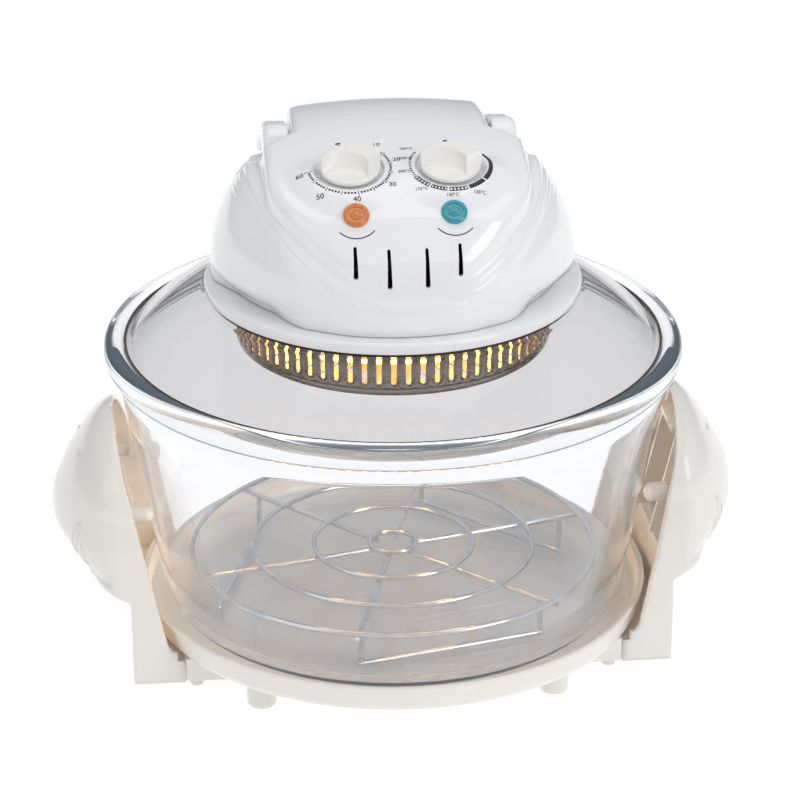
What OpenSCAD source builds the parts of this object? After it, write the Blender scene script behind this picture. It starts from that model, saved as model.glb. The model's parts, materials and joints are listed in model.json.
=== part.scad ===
// Countertop rotisserie oven of the lamp-heated turbo type: glass bowl on a dished base with two
// wing handles, and a domed head in a glass lid that holds the lamp, the fan and the controls.
// Z is up, the feet stand on z = 0, the Z axis is the bowl's axis and the controls face -Y.

/* [Bowl] */
// Outer radius of the bowl's rim
rim_r = 170; // [169:0.5:171]
// Wall thickness of the bowl
bowl_wall = 5.5; // [5:0.1:6]
// Height of the bowl's underside above the table
bowl_z = 24.2; // [24.1:0.1:24.4]

/* [Base] */
// Outer radius of the dish's lip
dish_r = 153; // [152:0.5:153]
// Height of the dish's underside, which is the length of the large feet
dish_z = 20; // [20:0.5:20]
// Half of the depth of the side blocks and handle arms
block_y = 76; // [75:0.5:77]
// Place of the seam between base and handle
seam_x = 129.5; // [129:0.5:130]
// Radius of a large foot
foot_r = 8.5; // [7:0.5:9]

/* [Handles] */
// Distance from the axis to the nose of a wing
wing_x = 204.5; // [202:0.5:206]
// Height of the top of a wing
wing_top = 151.5; // [150:0.5:152]
// Wall thickness of the plastic mouldings
wall = 3; // [2.6:0.1:3.2]
// Radius of a bowl bumper
bumper_r = 5.8; // [5:0.1:6]

/* [Lid] */
// Outer radius of the lid, its edge seal included
lid_r = 158; // [157:0.5:158]
// Radius of the hole in the glass lid
lid_hole_r = 97; // [96.5:0.5:98]
// Height of the lid's edge
lid_z = 187.2; // [187.1:0.1:187.3]

/* [Head] */
// Radius of the domed cover
dome_r = 104; // [103:0.5:105]
// Height of the dome above its widest ring
dome_h = 92; // [90:1:93]
// Thickness of the cover
skin = 2.5; // [2:0.1:2.6]
// Outer radius of the lamp guard
guard_r = 91.5; // [90:0.5:92]
// Number of slots around the lamp guard
guard_slots = 70; // [40:2:72]
// Radius of the halogen ring lamp
lamp_r = 68; // [64:1:70]

/* [Controls] */
// Distance of a dial from the middle of the panel
dial_x = 28.3; // [27:0.1:29]
// Radius of a knob
knob_r = 17; // [15:0.5:17.5]
// Radius of an indicator lens
lens_r = 7; // [6:0.5:7]

/* [Hidden] */
$fn = 96;

// Base and handles
dish_floor = 4;
block_z = 6;
block_top = dish_z - 0.2;
block_x = 95;
small_foot_r = 3.75;
small_foot = [123, 67];
large_foot = [86, 93.6];
screw_y = 45;
screw_z = 12.5;
screw_r = 1.8;
arm_x = 160.5;
arm_top = 58;
inner_low = [139, 29];
inner_top = [166, wing_top];
wing_nose_z = 89;
arch_z = 105;
arch_y = 63;
wing_y = 66;
dish_gap = 0.6;
bumper_y = 45;
bumper_z = 102;
bumper_tip = 144.6;
boss_x = 158;

// Bowl, lid and rack
ledge_z = 187;
ledge_r = 154;
land_r = 111;
land_z = 222;
seal_in = lid_r - 1.4;
seal_h = 4;
wire_r = 1.6;
rack_z = 57;
rack_r = 121;
rack_hub_r = 14;
rack_foot_r = 110;
rack_foot_z = 32.2;

// Head, from the glass upwards
gasket_t = 2.5;
ring_z = land_z + gasket_t;
ring_r = 110;
ring_hole = 79;
ring_t = 3.5;
spigot_r = 94.4;
spigot_top = 240.5;
cover_z = 231;
dome_z = 240;
plate_z = ring_z + ring_t;
plate_t = 1.2;
plate_r = 91.8;
guard_z = 193;
guard_t = 1;
cover_screw_r = 84;
cover_screw_angles = [60, 120, 240, 300];
shaft_r = 3;
running = 0.05;
motor_z = 245.5;
motor_h = 26;
motor_r = 30;
post_r = 32;
lamp_z = 209;
lamp_tube_r = 5;
lamp_gap = 12.5;
gland_z = 250;
gland_r = 7;
cord_r = 3.6;
crown_r = 420;
top_z = 316.5;

// Carry handle and its safety switch
pivot = [22, 301];
ear_r = 14;
ear_in = 59;
ear_out = 73.6;
tongue_x = 57.5;
pocket_gap = 1.2;
grip = [105, 277.3];
grip_r = 7;
arm_over = 310.7;
arm_under = 298;
plunger = [66, 46];
plunger_r = 2.5;
switch_top = 283;

// Dials and lenses: place of the middle on the panel and tilt towards the front
dial_yz = [-41, 309.6];
dial_tilt = 20;
lens_x = 27.5;
lens_yz = [-67, 292.6];
lens_tilt = 37;
well_r = 18.5;
well_depth = 2;
bar_top = 10.5;
timer_turn = 4;
thermostat_turn = -8;

function bezier(a, b, c, n = 10) = [for (k = [0:n]) let (t = k / n)
    a * (1 - t) * (1 - t) + b * 2 * t * (1 - t) + c * t * t];
function arc(c, rx, ry, from, to, n = 12) = [for (k = [0:n]) let (t = from + (to - from) * k / n)
    [c[0] + rx * cos(t), c[1] + ry * sin(t)]];

// A flat outline in X and Z, made thick along Y
module slab_y(points, half) {
    translate([0, half, 0]) rotate([90, 0, 0]) linear_extrude(2 * half) polygon(points);
}

// A flat outline in Y and Z, made thick along X from one place to another
module slab_x(points, from, to) {
    translate([from, 0, 0]) rotate([90, 0, 90]) linear_extrude(to - from) polygon(points);
}

module on_both_sides() {
    children();
    mirror([1, 0, 0]) children();
}

module in_four_corners(place) {
    for (sx = [-1, 1], sy = [-1, 1]) translate([sx * place[0], sy * place[1], 0]) children();
}

// ---- Base ----

module dish() {
    rotate_extrude($fn = 180) polygon(concat(
        [[0, dish_z], [dish_r - 8, dish_z]],
        bezier([dish_r - 8, dish_z], [dish_r - 3, dish_z], [dish_r - 2.4, dish_z + 6], 6),
        arc([dish_r - 1.8, 37], 1.8, 1.5, 0, 180, 8),
        bezier([dish_r - 6, 30], [dish_r - 6, dish_z + dish_floor],
            [dish_r - 12, dish_z + dish_floor], 6),
        [[0, dish_z + dish_floor]]));
}

module side_block() {
    inner_y = block_y - wall;
    difference() {
        translate([block_x, -block_y, block_z])
            cube([seam_x - block_x, 2 * block_y, dish_z - block_z + 1]);
        translate([block_x + wall, -inner_y, block_z - 1])
            cube([seam_x - block_x - 2 * wall, 2 * inner_y, dish_z - block_z + 1]);
        for (s = [-1, 1]) translate([seam_x - wall - 1, s * screw_y, screw_z])
            rotate([0, 90, 0]) cylinder(r = screw_r + 0.2, h = wall + 2, $fn = 32);
    }
    for (s = [-1, 1]) translate([small_foot[0], s * small_foot[1], block_z])
        cylinder(r = small_foot_r + 1, h = dish_z - block_z + 1, $fn = 32);
}

module base_dish() {
    color("ivory") union() {
        dish();
        on_both_sides() side_block();
    }
}

module handle_body(inset, open_side) {
    inner = open_side ? [[seam_x - 30, block_top], [seam_x - 30, wing_top]]
        : [[seam_x, block_z], [seam_x, 25.5], [inner_low[0] - 2, 25.5], inner_low,
           inner_top - [0, 1]];
    outer_x = arm_x - inset;
    nose = [wing_x - inset, wing_nose_z];
    intersection() {
        slab_y(concat(
            [[outer_x, open_side ? block_top : block_z]],
            bezier([outer_x, arm_top + inset], [wing_x - 5 - inset, arm_top + 4 + inset], nose),
            bezier(nose, [wing_x - 1.5 - inset, 115], [178 - inset, 144 - inset]),
            bezier([178 - inset, 144 - inset], [171, wing_top + 1], inner_top - [0, inset], 5),
            [for (k = [len(inner) - 1:-1:0]) inner[k]]), 80);
        slab_x(concat(
            [[-block_y + inset, 0]], [[-block_y + inset, 29]],
            [for (p = arc([0, arch_z], arch_y - inset, wing_top - arch_z - inset, 180, 0, 24)) p],
            [[block_y - inset, 29], [block_y - inset, 0]]), 90, 210);
        linear_extrude(160) polygon(concat(
            [[90, 80], [90, -80], [arm_x - inset, -80]],
            arc([arm_x - inset, 0], wing_x - arm_x, wing_y - inset, -90, 90, 24),
            [[arm_x - inset, 80]]));
    }
}

module handle() {
    difference() {
        union() {
            difference() {
                handle_body(0, false);
                handle_body(wall, true);
                translate([seam_x + wall, -block_y + wall, block_z - 1])
                    cube([arm_x - seam_x - 2 * wall, 2 * (block_y - wall),
                          block_top - block_z + 1 - wall]);
            }
            // Ribs, the stop under the top and the bumper bosses inside the wing
            intersection() {
                handle_body(0.5, false);
                translate([6, 0, 0]) handle_body(0.5, false);
                union() {
                    for (s = [-1, 1]) translate([140, s * 20 - 1.25, 62]) cube([70, 2.5, 90]);
                    translate([140, -20, 128]) cube([70, 40, 4]);
                    for (s = [-1, 1]) translate([boss_x, s * bumper_y, bumper_z])
                        rotate([0, 90, 0]) cylinder(r = bumper_r + 1, h = 50, $fn = 48);
                }
            }
            for (s = [-1, 1]) translate([seam_x, s * screw_y, screw_z])
                rotate([0, 90, 0]) cylinder(r = 4.2, h = 16, $fn = 32);
        }
        for (s = [-1, 1]) {
            translate([seam_x - 1, s * screw_y, screw_z])
                rotate([0, 90, 0]) cylinder(r = screw_r, h = 14, $fn = 32);
            translate([boss_x - 1, s * bumper_y, bumper_z])
                rotate([0, 90, 0]) cylinder(r = 4, h = 19, $fn = 48);
        }
        translate([0, 0, block_top]) cylinder(r = dish_r + dish_gap, h = 30, $fn = 180);
    }
}

module handle_right() {
    color("ivory") handle();
}

module handle_left() {
    color("ivory") mirror([1, 0, 0]) handle();
}

module bowl_bumpers() {
    color("ivory") for (sx = [0, 1], s = [-1, 1]) mirror([sx, 0, 0])
        translate([bumper_tip, s * bumper_y, bumper_z]) rotate([0, 90, 0]) {
            rotate_extrude($fn = 48) polygon(concat(
                [for (p = arc([0, bumper_r * 0.8], bumper_r, bumper_r * 0.8, -90, 0, 8)) p],
                [[bumper_r, boss_x + 6 - bumper_tip - 6], [4, boss_x - bumper_tip],
                 [4, boss_x + 18 - bumper_tip], [0, boss_x + 18 - bumper_tip]]));
        }
}

module large_feet() {
    color("ivory") in_four_corners(large_foot) rotate_extrude($fn = 48)
        polygon([[0, 0], [foot_r - 1, 0], [foot_r, 1], [foot_r + 0.6, dish_z], [0, dish_z]]);
}

module small_feet() {
    color("ivory") in_four_corners(small_foot) rotate_extrude($fn = 32)
        polygon([[0, 0], [small_foot_r - 0.5, 0], [small_foot_r, 0.5],
                 [small_foot_r, block_z], [0, block_z]]);
}

module base_screws() {
    color("silver") for (sx = [0, 1], s = [-1, 1]) mirror([sx, 0, 0])
        translate([seam_x - wall, s * screw_y, screw_z]) rotate([0, 90, 0]) {
            cylinder(r = screw_r, h = 15, $fn = 32);
            translate([0, 0, -2.5]) cylinder(r1 = 2.6, r2 = 3.8, h = 2.5, $fn = 32);
        }
}

// ---- Bowl and rack ----

module glass_bowl() {
    w = bowl_wall;
    color([0.8, 0.86, 0.88, 0.4]) rotate_extrude($fn = 240) polygon(concat(
        [[0, bowl_z], [118, bowl_z]],
        bezier([118, bowl_z], [136, bowl_z], [139.5, 40], 10),
        [[rim_r - 7, 179]],
        bezier([rim_r - 7, 179], [rim_r - 0.5, 181], [rim_r, 187.5], 6),
        bezier([rim_r, 187.5], [rim_r, 195], [rim_r - 6.5, 195], 6),
        bezier([rim_r - 6.5, 195], [lid_r + 0.6, 195], [lid_r + 0.4, 190], 5),
        [[lid_r + 0.4, ledge_z], [ledge_r, ledge_z], [ledge_r + 0.2, 178],
         [155.4, 168], [139.5 - w, 44]],
        bezier([139.5 - w, 44], [132, bowl_z + w - 0.4], [116, bowl_z + w - 0.4], 10),
        [[0, bowl_z + w - 0.4]]));
}

module wire_ring(r, z) {
    translate([0, 0, z]) rotate_extrude($fn = 120) translate([r, 0]) circle(wire_r, $fn = 16);
}

module low_rack() {
    spoke_z = rack_z - 2 * wire_r + 0.4;
    weld_r = wire_r + 0.5;
    color("silver") union() {
        for (r = [rack_hub_r, 48, 84, rack_r]) wire_ring(r, rack_z);
        for (a = [0:60:300]) rotate([0, 0, a + 15]) translate([rack_hub_r - 2, 0, spoke_z])
            rotate([0, 90, 0])
                cylinder(r = wire_r, h = rack_r - rack_hub_r + 3, $fn = 16);
        // Three square feet, each under two neighbouring spokes
        for (a = [0, 120, 240]) rotate([0, 0, a + 15]) {
            for (b = [0, 60]) rotate([0, 0, b]) translate([rack_foot_r, 0, rack_foot_z]) {
                cylinder(r = wire_r, h = spoke_z - rack_foot_z, $fn = 16);
                sphere(weld_r, $fn = 16);
            }
            translate([rack_foot_r, 0, rack_foot_z]) rotate([0, 90, 120])
                cylinder(r = wire_r, h = rack_foot_r, $fn = 16);
        }
    }
}

// ---- Lid ----

module lid_glass() {
    color([0.85, 0.88, 0.9, 0.4]) rotate_extrude($fn = 240) polygon(concat(
        [[lid_hole_r, land_z - 5], [lid_hole_r, land_z], [land_r, land_z]],
        bezier([land_r, land_z], [134, 213], [150, lid_z + 5], 12),
        [[seal_in, lid_z + 5], [seal_in, lid_z], [144.5, lid_z]],
        bezier([144.5, lid_z], [130.5, 208], [108.5, land_z - 5], 12)));
}

// Thin dark band round the edge of the glass
module lid_seal() {
    color([0.12, 0.08, 0.06]) rotate_extrude($fn = 240)
        polygon([[seal_in, lid_z], [lid_r - 0.4, lid_z], [lid_r, lid_z + 0.4],
                 [lid_r, lid_z + seal_h - 0.4], [lid_r - 0.4, lid_z + seal_h],
                 [seal_in, lid_z + seal_h]]);
}

module lid_gasket() {
    color([0.1, 0.1, 0.1]) rotate_extrude($fn = 180)
        polygon([[95.3, land_z - 4], [lid_hole_r, land_z - 4], [lid_hole_r, land_z],
                 [ring_r + 0.6, land_z], [ring_r + 0.6, ring_z], [95.3, ring_z]]);
}

// ---- Head ----

module at_cover_screws() {
    for (a = cover_screw_angles)
        translate([cover_screw_r * cos(a), cover_screw_r * sin(a), 0]) children();
}

module head_ring() {
    color("white") difference() {
        rotate_extrude($fn = 180) polygon(concat(
            [[ring_hole, ring_z], [ring_r - 0.4, ring_z]],
            bezier([ring_r, ring_z + 0.4], [ring_r, 229.5], [ring_r - 7, 230], 6),
            [[spigot_r, 230.2], [spigot_r, spigot_top], [plate_r + 0.2, spigot_top],
             [plate_r + 0.2, plate_z], [ring_hole, plate_z]]));
        at_cover_screws() translate([0, 0, ring_z - 1])
            cylinder(r = screw_r + 0.3, h = ring_t + 2, $fn = 32);
    }
}

// Shield outline of the control hood, seen from above, shrunk by an inset
module hood_outline(inset) {
    side = 75 - inset;
    nose = 99 - inset;
    right = concat(
        [for (t = [0:0.1:1]) let (u = 1 - t)
            [3 * u * u * t * 38 + 3 * u * t * t * (side - 1.5) + t * t * t * side,
             -nose * (u * u * u + 3 * u * u * t) - 3 * u * t * t * 66 - t * t * t * 40]],
        [[side, -1 - inset], [tongue_x - inset, 13 - inset], [tongue_x - inset, 62 - inset]],
        bezier([tongue_x - inset, 62 - inset], [46, 81 - inset], [0, 84 - inset], 8));
    polygon(concat(right, [for (k = [len(right) - 2:-1:1]) [-right[k][0], right[k][1]]]));
}

// Side outline of the head's top: steep front, sloping panel, crest and rear edge
function top_outline(inset) = concat(
    [[-130, 200], [-130, 239 - inset], [-99.5 + inset, 252], [-91.5 + inset, 272.5 - inset]],
    [[-67, lens_yz[1] + 0.4 - inset]],
    bezier([-54, 303.4 - inset], [-38, 312.6 - inset], [-12, top_z - 1.8 - inset], 6),
    bezier([-12, top_z - 1.8 - inset], [25, top_z + 1.5 - inset], [60, top_z - 1 - inset], 6),
    bezier([62, top_z - 1.4 - inset], [80 - inset, top_z - 6 - inset], [84 - inset, 290], 6),
    [[110, 284 - inset], [130, 240], [130, 200]]);

module handle_pocket(grow) {
    reach = ear_r + pocket_gap + grow;
    on_both_sides() translate([tongue_x - grow, 0, 0]) {
        translate([0, pivot[0], pivot[1]]) rotate([0, 90, 0]) cylinder(r = reach, h = 60);
        translate([0, pivot[0], arm_under - 2 - grow]) cube([60, 90, 40]);
    }
}

module cover_solid(inset) {
    difference() {
        intersection() {
            union() {
                rotate_extrude($fn = 180) polygon(concat(
                    [[0, cover_z], [dome_r - 1 - inset, cover_z]],
                    arc([0, dome_z], dome_r - inset, dome_h - inset, 0, 90, 24)));
                translate([0, 0, cover_z]) linear_extrude(90) hood_outline(inset);
            }
            slab_x(top_outline(inset), -120, 120);
            translate([0, 150, top_z - crown_r - inset]) rotate([90, 0, 0])
                cylinder(r = crown_r, h = 300, $fn = 720);
        }
        handle_pocket(inset);
    }
}

module at_dial(side) {
    translate([side * dial_x, dial_yz[0], dial_yz[1]]) rotate([dial_tilt, 0, 0]) children();
}

module at_lens(side) {
    translate([side * lens_x, lens_yz[0], lens_yz[1]]) rotate([lens_tilt, 0, 0]) children();
}

module head_cover() {
    color("white") difference() {
        union() {
            difference() {
                cover_solid(0);
                cover_solid(skin);
                translate([0, 0, cover_z - 1]) cylinder(r = dome_r - 1 - skin, h = 2);
            }
            // Floors of the knob wells and posts for the cover screws
            for (s = [-1, 1]) at_dial(s) translate([0, 0, -6]) cylinder(r = well_r + 2, h = 4.5);
            intersection() {
                cover_solid(1);
                at_cover_screws() translate([0, 0, plate_z + plate_t])
                    cylinder(r = 4.2, h = 90, $fn = 32);
            }
        }
        for (s = [-1, 1]) {
            at_dial(s) {
                translate([0, 0, -well_depth]) cylinder(r = well_r, h = 12);
                translate([0, 0, -10]) cylinder(r = 5, h = 12, $fn = 48);
            }
            at_lens(s) translate([0, 0, -8]) cylinder(r = lens_r, h = 16, $fn = 48);
        }
        // Vents in the front face
        for (v = [[10.5, 257, 20.5], [29, 262, 17]]) on_both_sides()
            translate([v[0] - 1.6, -110, v[1]]) cube([3.2, 32, v[2]]);
        at_cover_screws() translate([0, 0, plate_z]) cylinder(r = screw_r, h = 20, $fn = 32);
        translate([0, 80, gland_z]) rotate([-90, 0, 0]) cylinder(r = gland_r, h = 30, $fn = 48);
        translate([0, pivot[0], pivot[1]]) rotate([0, 90, 0])
            cylinder(r = shaft_r, h = 2 * tongue_x + 2, center = true, $fn = 48);
        translate([plunger[0], plunger[1], 280])
            cylinder(r = plunger_r + running, h = 30, $fn = 48);
    }
}

module lens(side, tint) {
    color(tint) at_lens(side) rotate_extrude($fn = 48) polygon(concat(
        [[0, -4], [lens_r, -4], [lens_r, 0.8]],
        bezier([lens_r, 0.8], [lens_r * 0.6, 2.4], [0, 2.4], 6)));
}

module power_lens() {
    lens(-1, [0.9, 0.45, 0.1]);
}

module heat_lens() {
    lens(1, [0.1, 0.55, 0.6]);
}

module indicator_lamps() {
    color([0.95, 0.9, 0.85]) for (s = [-1, 1]) at_lens(s) translate([0, 0, -15])
        cylinder(r = 5.5, h = 11, $fn = 32);
}

module control_body(side, depth) {
    at_dial(side) difference() {
        union() {
            translate([-19, -19, -8 - depth]) cube([38, 38, depth]);
            translate([0, 0, -8]) cylinder(r = 4.6, h = 5, $fn = 48);
        }
        translate([0, 0, -20]) cylinder(r = shaft_r + running, h = 30, $fn = 48);
    }
}

module timer_body() {
    color([0.85, 0.85, 0.8]) control_body(-1, 24);
}

module thermostat_body() {
    color([0.75, 0.75, 0.78]) control_body(1, 20);
}

module control_shaft(side) {
    color("silver") at_dial(side) translate([0, 0, -19.5]) cylinder(r = shaft_r, h = 26, $fn = 48);
}

module timer_shaft() {
    control_shaft(-1);
}

module thermostat_shaft() {
    control_shaft(1);
}

// Round knob with a raised grip bar across it
module knob(side, turn) {
    color("white") at_dial(side) rotate([0, 0, turn]) difference() {
        union() {
            translate([0, 0, -1.5]) cylinder(r1 = knob_r, r2 = knob_r - 0.6, h = 4.5);
            intersection() {
                cylinder(r = knob_r - 0.6, h = 14);
                slab_y([[-knob_r, 2], [knob_r, 2], [knob_r, 5], [12, bar_top],
                        [-12, bar_top], [-knob_r, 5]], 6.5);
            }
        }
        translate([0, 0, -2]) cylinder(r = shaft_r, h = 8.5, $fn = 48);
    }
}

module timer_knob() {
    knob(-1, timer_turn);
}

module thermostat_knob() {
    knob(1, thermostat_turn);
}

// ---- Drive and heat ----

module fan_motor() {
    color([0.6, 0.6, 0.62]) difference() {
        union() {
            translate([0, 0, motor_z]) cylinder(r = motor_r, h = motor_h - 4);
            translate([0, 0, motor_z + motor_h - 4]) cylinder(r = 12, h = 4);
        }
        cylinder(r = shaft_r + running, h = 300, $fn = 48);
    }
}

module motor_bracket() {
    color("silver") difference() {
        union() {
            translate([0, 0, motor_z - 1.5]) cylinder(r = 36, h = 1.5);
            for (a = [45:90:315]) rotate([0, 0, a])
                translate([post_r, 0, plate_z + plate_t])
                    cylinder(r = 3, h = motor_z - plate_z - plate_t - 1, $fn = 32);
        }
        translate([0, 0, motor_z - 3]) cylinder(r = 8, h = 6, $fn = 48);
    }
}

module heat_shield() {
    color("silver") difference() {
        translate([0, 0, plate_z]) cylinder(r = plate_r, h = plate_t);
        translate([0, 0, plate_z - 1]) cylinder(r = 6, h = 4, $fn = 48);
        at_cover_screws() translate([0, 0, plate_z - 1])
            cylinder(r = screw_r + 0.3, h = 4, $fn = 32);
    }
}

module insulation_pad() {
    color([0.85, 0.8, 0.7]) difference() {
        translate([0, 0, ring_z]) cylinder(r = ring_hole - 0.2, h = ring_t);
        translate([0, 0, ring_z - 1]) cylinder(r = 6, h = ring_t + 2, $fn = 48);
    }
}

module reflector_plate() {
    color("silver") difference() {
        translate([0, 0, ring_z - 1]) cylinder(r = guard_r - guard_t - 0.1, h = 1);
        translate([0, 0, ring_z - 2]) cylinder(r = 6, h = 4, $fn = 48);
        at_cover_screws() translate([0, 0, ring_z - 2])
            cylinder(r = screw_r + 0.3, h = 4, $fn = 32);
    }
}

module halogen_lamp() {
    color([1, 0.85, 0.5]) translate([0, 0, lamp_z]) rotate([0, 0, 90 + lamp_gap])
        rotate_extrude(angle = 360 - 2 * lamp_gap, $fn = 120)
            translate([lamp_r, 0]) circle(lamp_tube_r, $fn = 32);
}

module lamp_holders() {
    color("linen") on_both_sides() translate([2, lamp_r - 8, lamp_z - 7])
        cube([11.2, 16, ring_z - 1 - lamp_z + 7]);
}

module lamp_guard() {
    inner = guard_r - guard_t;
    slot_w = 3;
    color("silver") difference() {
        rotate_extrude($fn = 180) polygon(concat(
            [[0, guard_z]],
            arc([guard_r - 5, guard_z + 5], 5, 5, -90, 0, 6),
            [[guard_r, ring_z - 1], [95, ring_z - 1], [95, ring_z], [inner, ring_z]],
            arc([guard_r - 5, guard_z + 5], 4, 4, 0, -90, 6),
            [[0, guard_z + guard_t]]));
        for (k = [0:guard_slots - 1]) rotate([0, 0, (k + 0.5) * 360 / guard_slots])
            translate([inner - 1, -slot_w / 2, 200]) cube([4, slot_w, 19]);
        // Slots in the floor, in two rings
        for (k = [0:35]) rotate([0, 0, k * 10])
            translate([46, -slot_w / 2, guard_z - 1]) cube([36, slot_w, 4]);
        for (k = [0:17]) rotate([0, 0, k * 20])
            translate([14, -slot_w / 2, guard_z - 1]) cube([26, slot_w, 4]);
    }
}

module cover_screws() {
    color("silver") at_cover_screws() {
        translate([0, 0, ring_z - 1]) cylinder(r = screw_r, h = 20, $fn = 32);
        translate([0, 0, ring_z - 3]) cylinder(r1 = 2.6, r2 = 3.8, h = 2, $fn = 32);
    }
}

module terminal_block() {
    color("linen") difference() {
        translate([-18, 52, plate_z + plate_t]) cube([36, 14, 12]);
        for (k = [-1, 0, 1]) translate([k * 11, 59, plate_z + plate_t + 5])
            cylinder(r = 2, h = 10, $fn = 32);
    }
}

module thermal_fuse() {
    color("silver") translate([-56, 34, plate_z + plate_t + 3.4]) {
        rotate([0, 90, 0]) cylinder(r = 2.4, h = 18, $fn = 32);
        translate([5, -3.4, -3.4]) cube([8, 6.8, 6.8]);
    }
}

module safety_switch() {
    color([0.15, 0.15, 0.16]) difference() {
        translate([plunger[0] - 8, plunger[1] - 7, switch_top - 17]) cube([12, 15, 17]);
        translate([plunger[0], plunger[1], switch_top - 10])
            cylinder(r = plunger_r + running, h = 20, $fn = 48);
    }
}

module switch_plunger() {
    color([0.8, 0.2, 0.15]) translate([plunger[0], plunger[1], switch_top - 7])
        cylinder(r = plunger_r, h = arm_under - 0.1 - switch_top + 7, $fn = 48);
}

module cord_gland() {
    color([0.2, 0.2, 0.2]) translate([0, 92, gland_z]) rotate([-90, 0, 0]) difference() {
        union() {
            cylinder(r = gland_r, h = 12, $fn = 48);
            cylinder(r = gland_r + 2, h = 4, $fn = 48);
            translate([0, 0, 12]) cylinder(r = gland_r + 2, h = 5, $fn = 48);
        }
        translate([0, 0, -1]) cylinder(r = cord_r, h = 20, $fn = 48);
    }
}

// ---- Carry handle ----

module handle_pins() {
    color("silver") on_both_sides() translate([48, pivot[0], pivot[1]]) rotate([0, 90, 0]) {
        cylinder(r = shaft_r, h = 22, $fn = 48);
        cylinder(r = 5, h = 3, $fn = 48);
    }
}

module carry_handle() {
    upper = concat([[pivot[0], arm_over]],
        bezier([46, arm_over], [64, 306], [grip[0] + 5, grip[1] + 5], 8));
    lower = concat(bezier([grip[0] - 5, grip[1] - 5], [78, 290], [60, arm_under], 8),
        [[pivot[0] + 12, arm_under], pivot]);
    color("white") difference() {
        union() {
            on_both_sides() {
                translate([ear_in, pivot[0], pivot[1]]) rotate([0, 90, 0])
                    cylinder(r = ear_r, h = ear_out - ear_in);
                slab_x(concat(upper, lower), ear_in, ear_out);
            }
            translate([-ear_out, grip[0], grip[1]]) rotate([0, 90, 0])
                cylinder(r = grip_r, h = 2 * ear_out, $fn = 64);
        }
        translate([0, pivot[0], pivot[1]]) rotate([0, 90, 0])
            cylinder(r = shaft_r + running, h = 142, center = true, $fn = 48);
    }
}

// ---- Fans ----

module fan_shaft() {
    color("silver") translate([0, 0, 203]) cylinder(r = shaft_r, h = 76, $fn = 48);
}

module cooling_fan() {
    fan_z = 232;
    color([0.3, 0.3, 0.32]) difference() {
        union() {
            translate([0, 0, fan_z]) cylinder(r = 8, h = 9, $fn = 48);
            for (k = [0:5]) rotate([0, 0, k * 60]) translate([6, 0, fan_z + 4.5])
                rotate([35, 0, 0]) translate([0, -6, -0.8]) cube([20, 12, 1.6]);
        }
        translate([0, 0, fan_z - 1]) cylinder(r = shaft_r, h = 12, $fn = 48);
    }
}

module hot_air_fan() {
    fan_z = 205;
    color("silver") difference() {
        union() {
            translate([0, 0, fan_z]) cylinder(r = 9, h = 12, $fn = 48);
            translate([0, 0, fan_z + 11]) cylinder(r = 48, h = 1);
            for (k = [0:7]) rotate([0, 0, k * 45 + 10])
                translate([16, 0, fan_z]) cube([30, 1, 11.5]);
        }
        translate([0, 0, fan_z - 1]) cylinder(r = shaft_r, h = 14, $fn = 48);
    }
}

base_dish();
handle_left();
handle_right();
bowl_bumpers();
large_feet();
small_feet();
base_screws();
glass_bowl();
low_rack();
lid_glass();
lid_seal();
lid_gasket();
head_ring();
head_cover();
power_lens();
heat_lens();
indicator_lamps();
timer_body();
thermostat_body();
fan_motor();
motor_bracket();
heat_shield();
insulation_pad();
reflector_plate();
halogen_lamp();
lamp_holders();
lamp_guard();
cover_screws();
terminal_block();
thermal_fuse();
safety_switch();
cord_gland();
handle_pins();
switch_plunger();
carry_handle();
timer_knob();
timer_shaft();
thermostat_knob();
thermostat_shaft();
fan_shaft();
cooling_fan();
hot_air_fan();
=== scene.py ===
"""Looks of a countertop turbo oven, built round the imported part. Z is up and the controls face -Y.
Shapes are worked out in millimetres and turned into metres when a mesh is made."""
import json
import math

import bmesh
import bpy
import numpy as np
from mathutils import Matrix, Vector


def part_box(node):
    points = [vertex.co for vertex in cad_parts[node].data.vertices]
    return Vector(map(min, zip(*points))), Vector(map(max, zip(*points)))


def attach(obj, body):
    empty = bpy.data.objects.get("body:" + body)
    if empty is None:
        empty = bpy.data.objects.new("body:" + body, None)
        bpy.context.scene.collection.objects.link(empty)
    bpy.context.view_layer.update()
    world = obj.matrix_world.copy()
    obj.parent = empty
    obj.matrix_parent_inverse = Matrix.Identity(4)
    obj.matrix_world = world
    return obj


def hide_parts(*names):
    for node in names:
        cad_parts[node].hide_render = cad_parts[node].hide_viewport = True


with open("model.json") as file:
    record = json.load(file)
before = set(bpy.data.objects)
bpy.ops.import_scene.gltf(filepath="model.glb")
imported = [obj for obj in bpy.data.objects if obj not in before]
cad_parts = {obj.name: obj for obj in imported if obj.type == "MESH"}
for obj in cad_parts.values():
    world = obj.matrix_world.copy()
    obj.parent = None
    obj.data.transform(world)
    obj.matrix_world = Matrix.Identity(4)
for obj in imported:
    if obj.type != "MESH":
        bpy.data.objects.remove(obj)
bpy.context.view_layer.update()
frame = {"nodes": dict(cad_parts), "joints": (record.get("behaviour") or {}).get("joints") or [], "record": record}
MM = 0.001
SLOT_OF = {s["node"]: s["material_slot"] for s in frame["record"]["subparts"]}


def corner(node, high):
    """A corner of a CAD node's box, in millimetres."""
    return np.array(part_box(node)[1 if high else 0]) / MM


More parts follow.
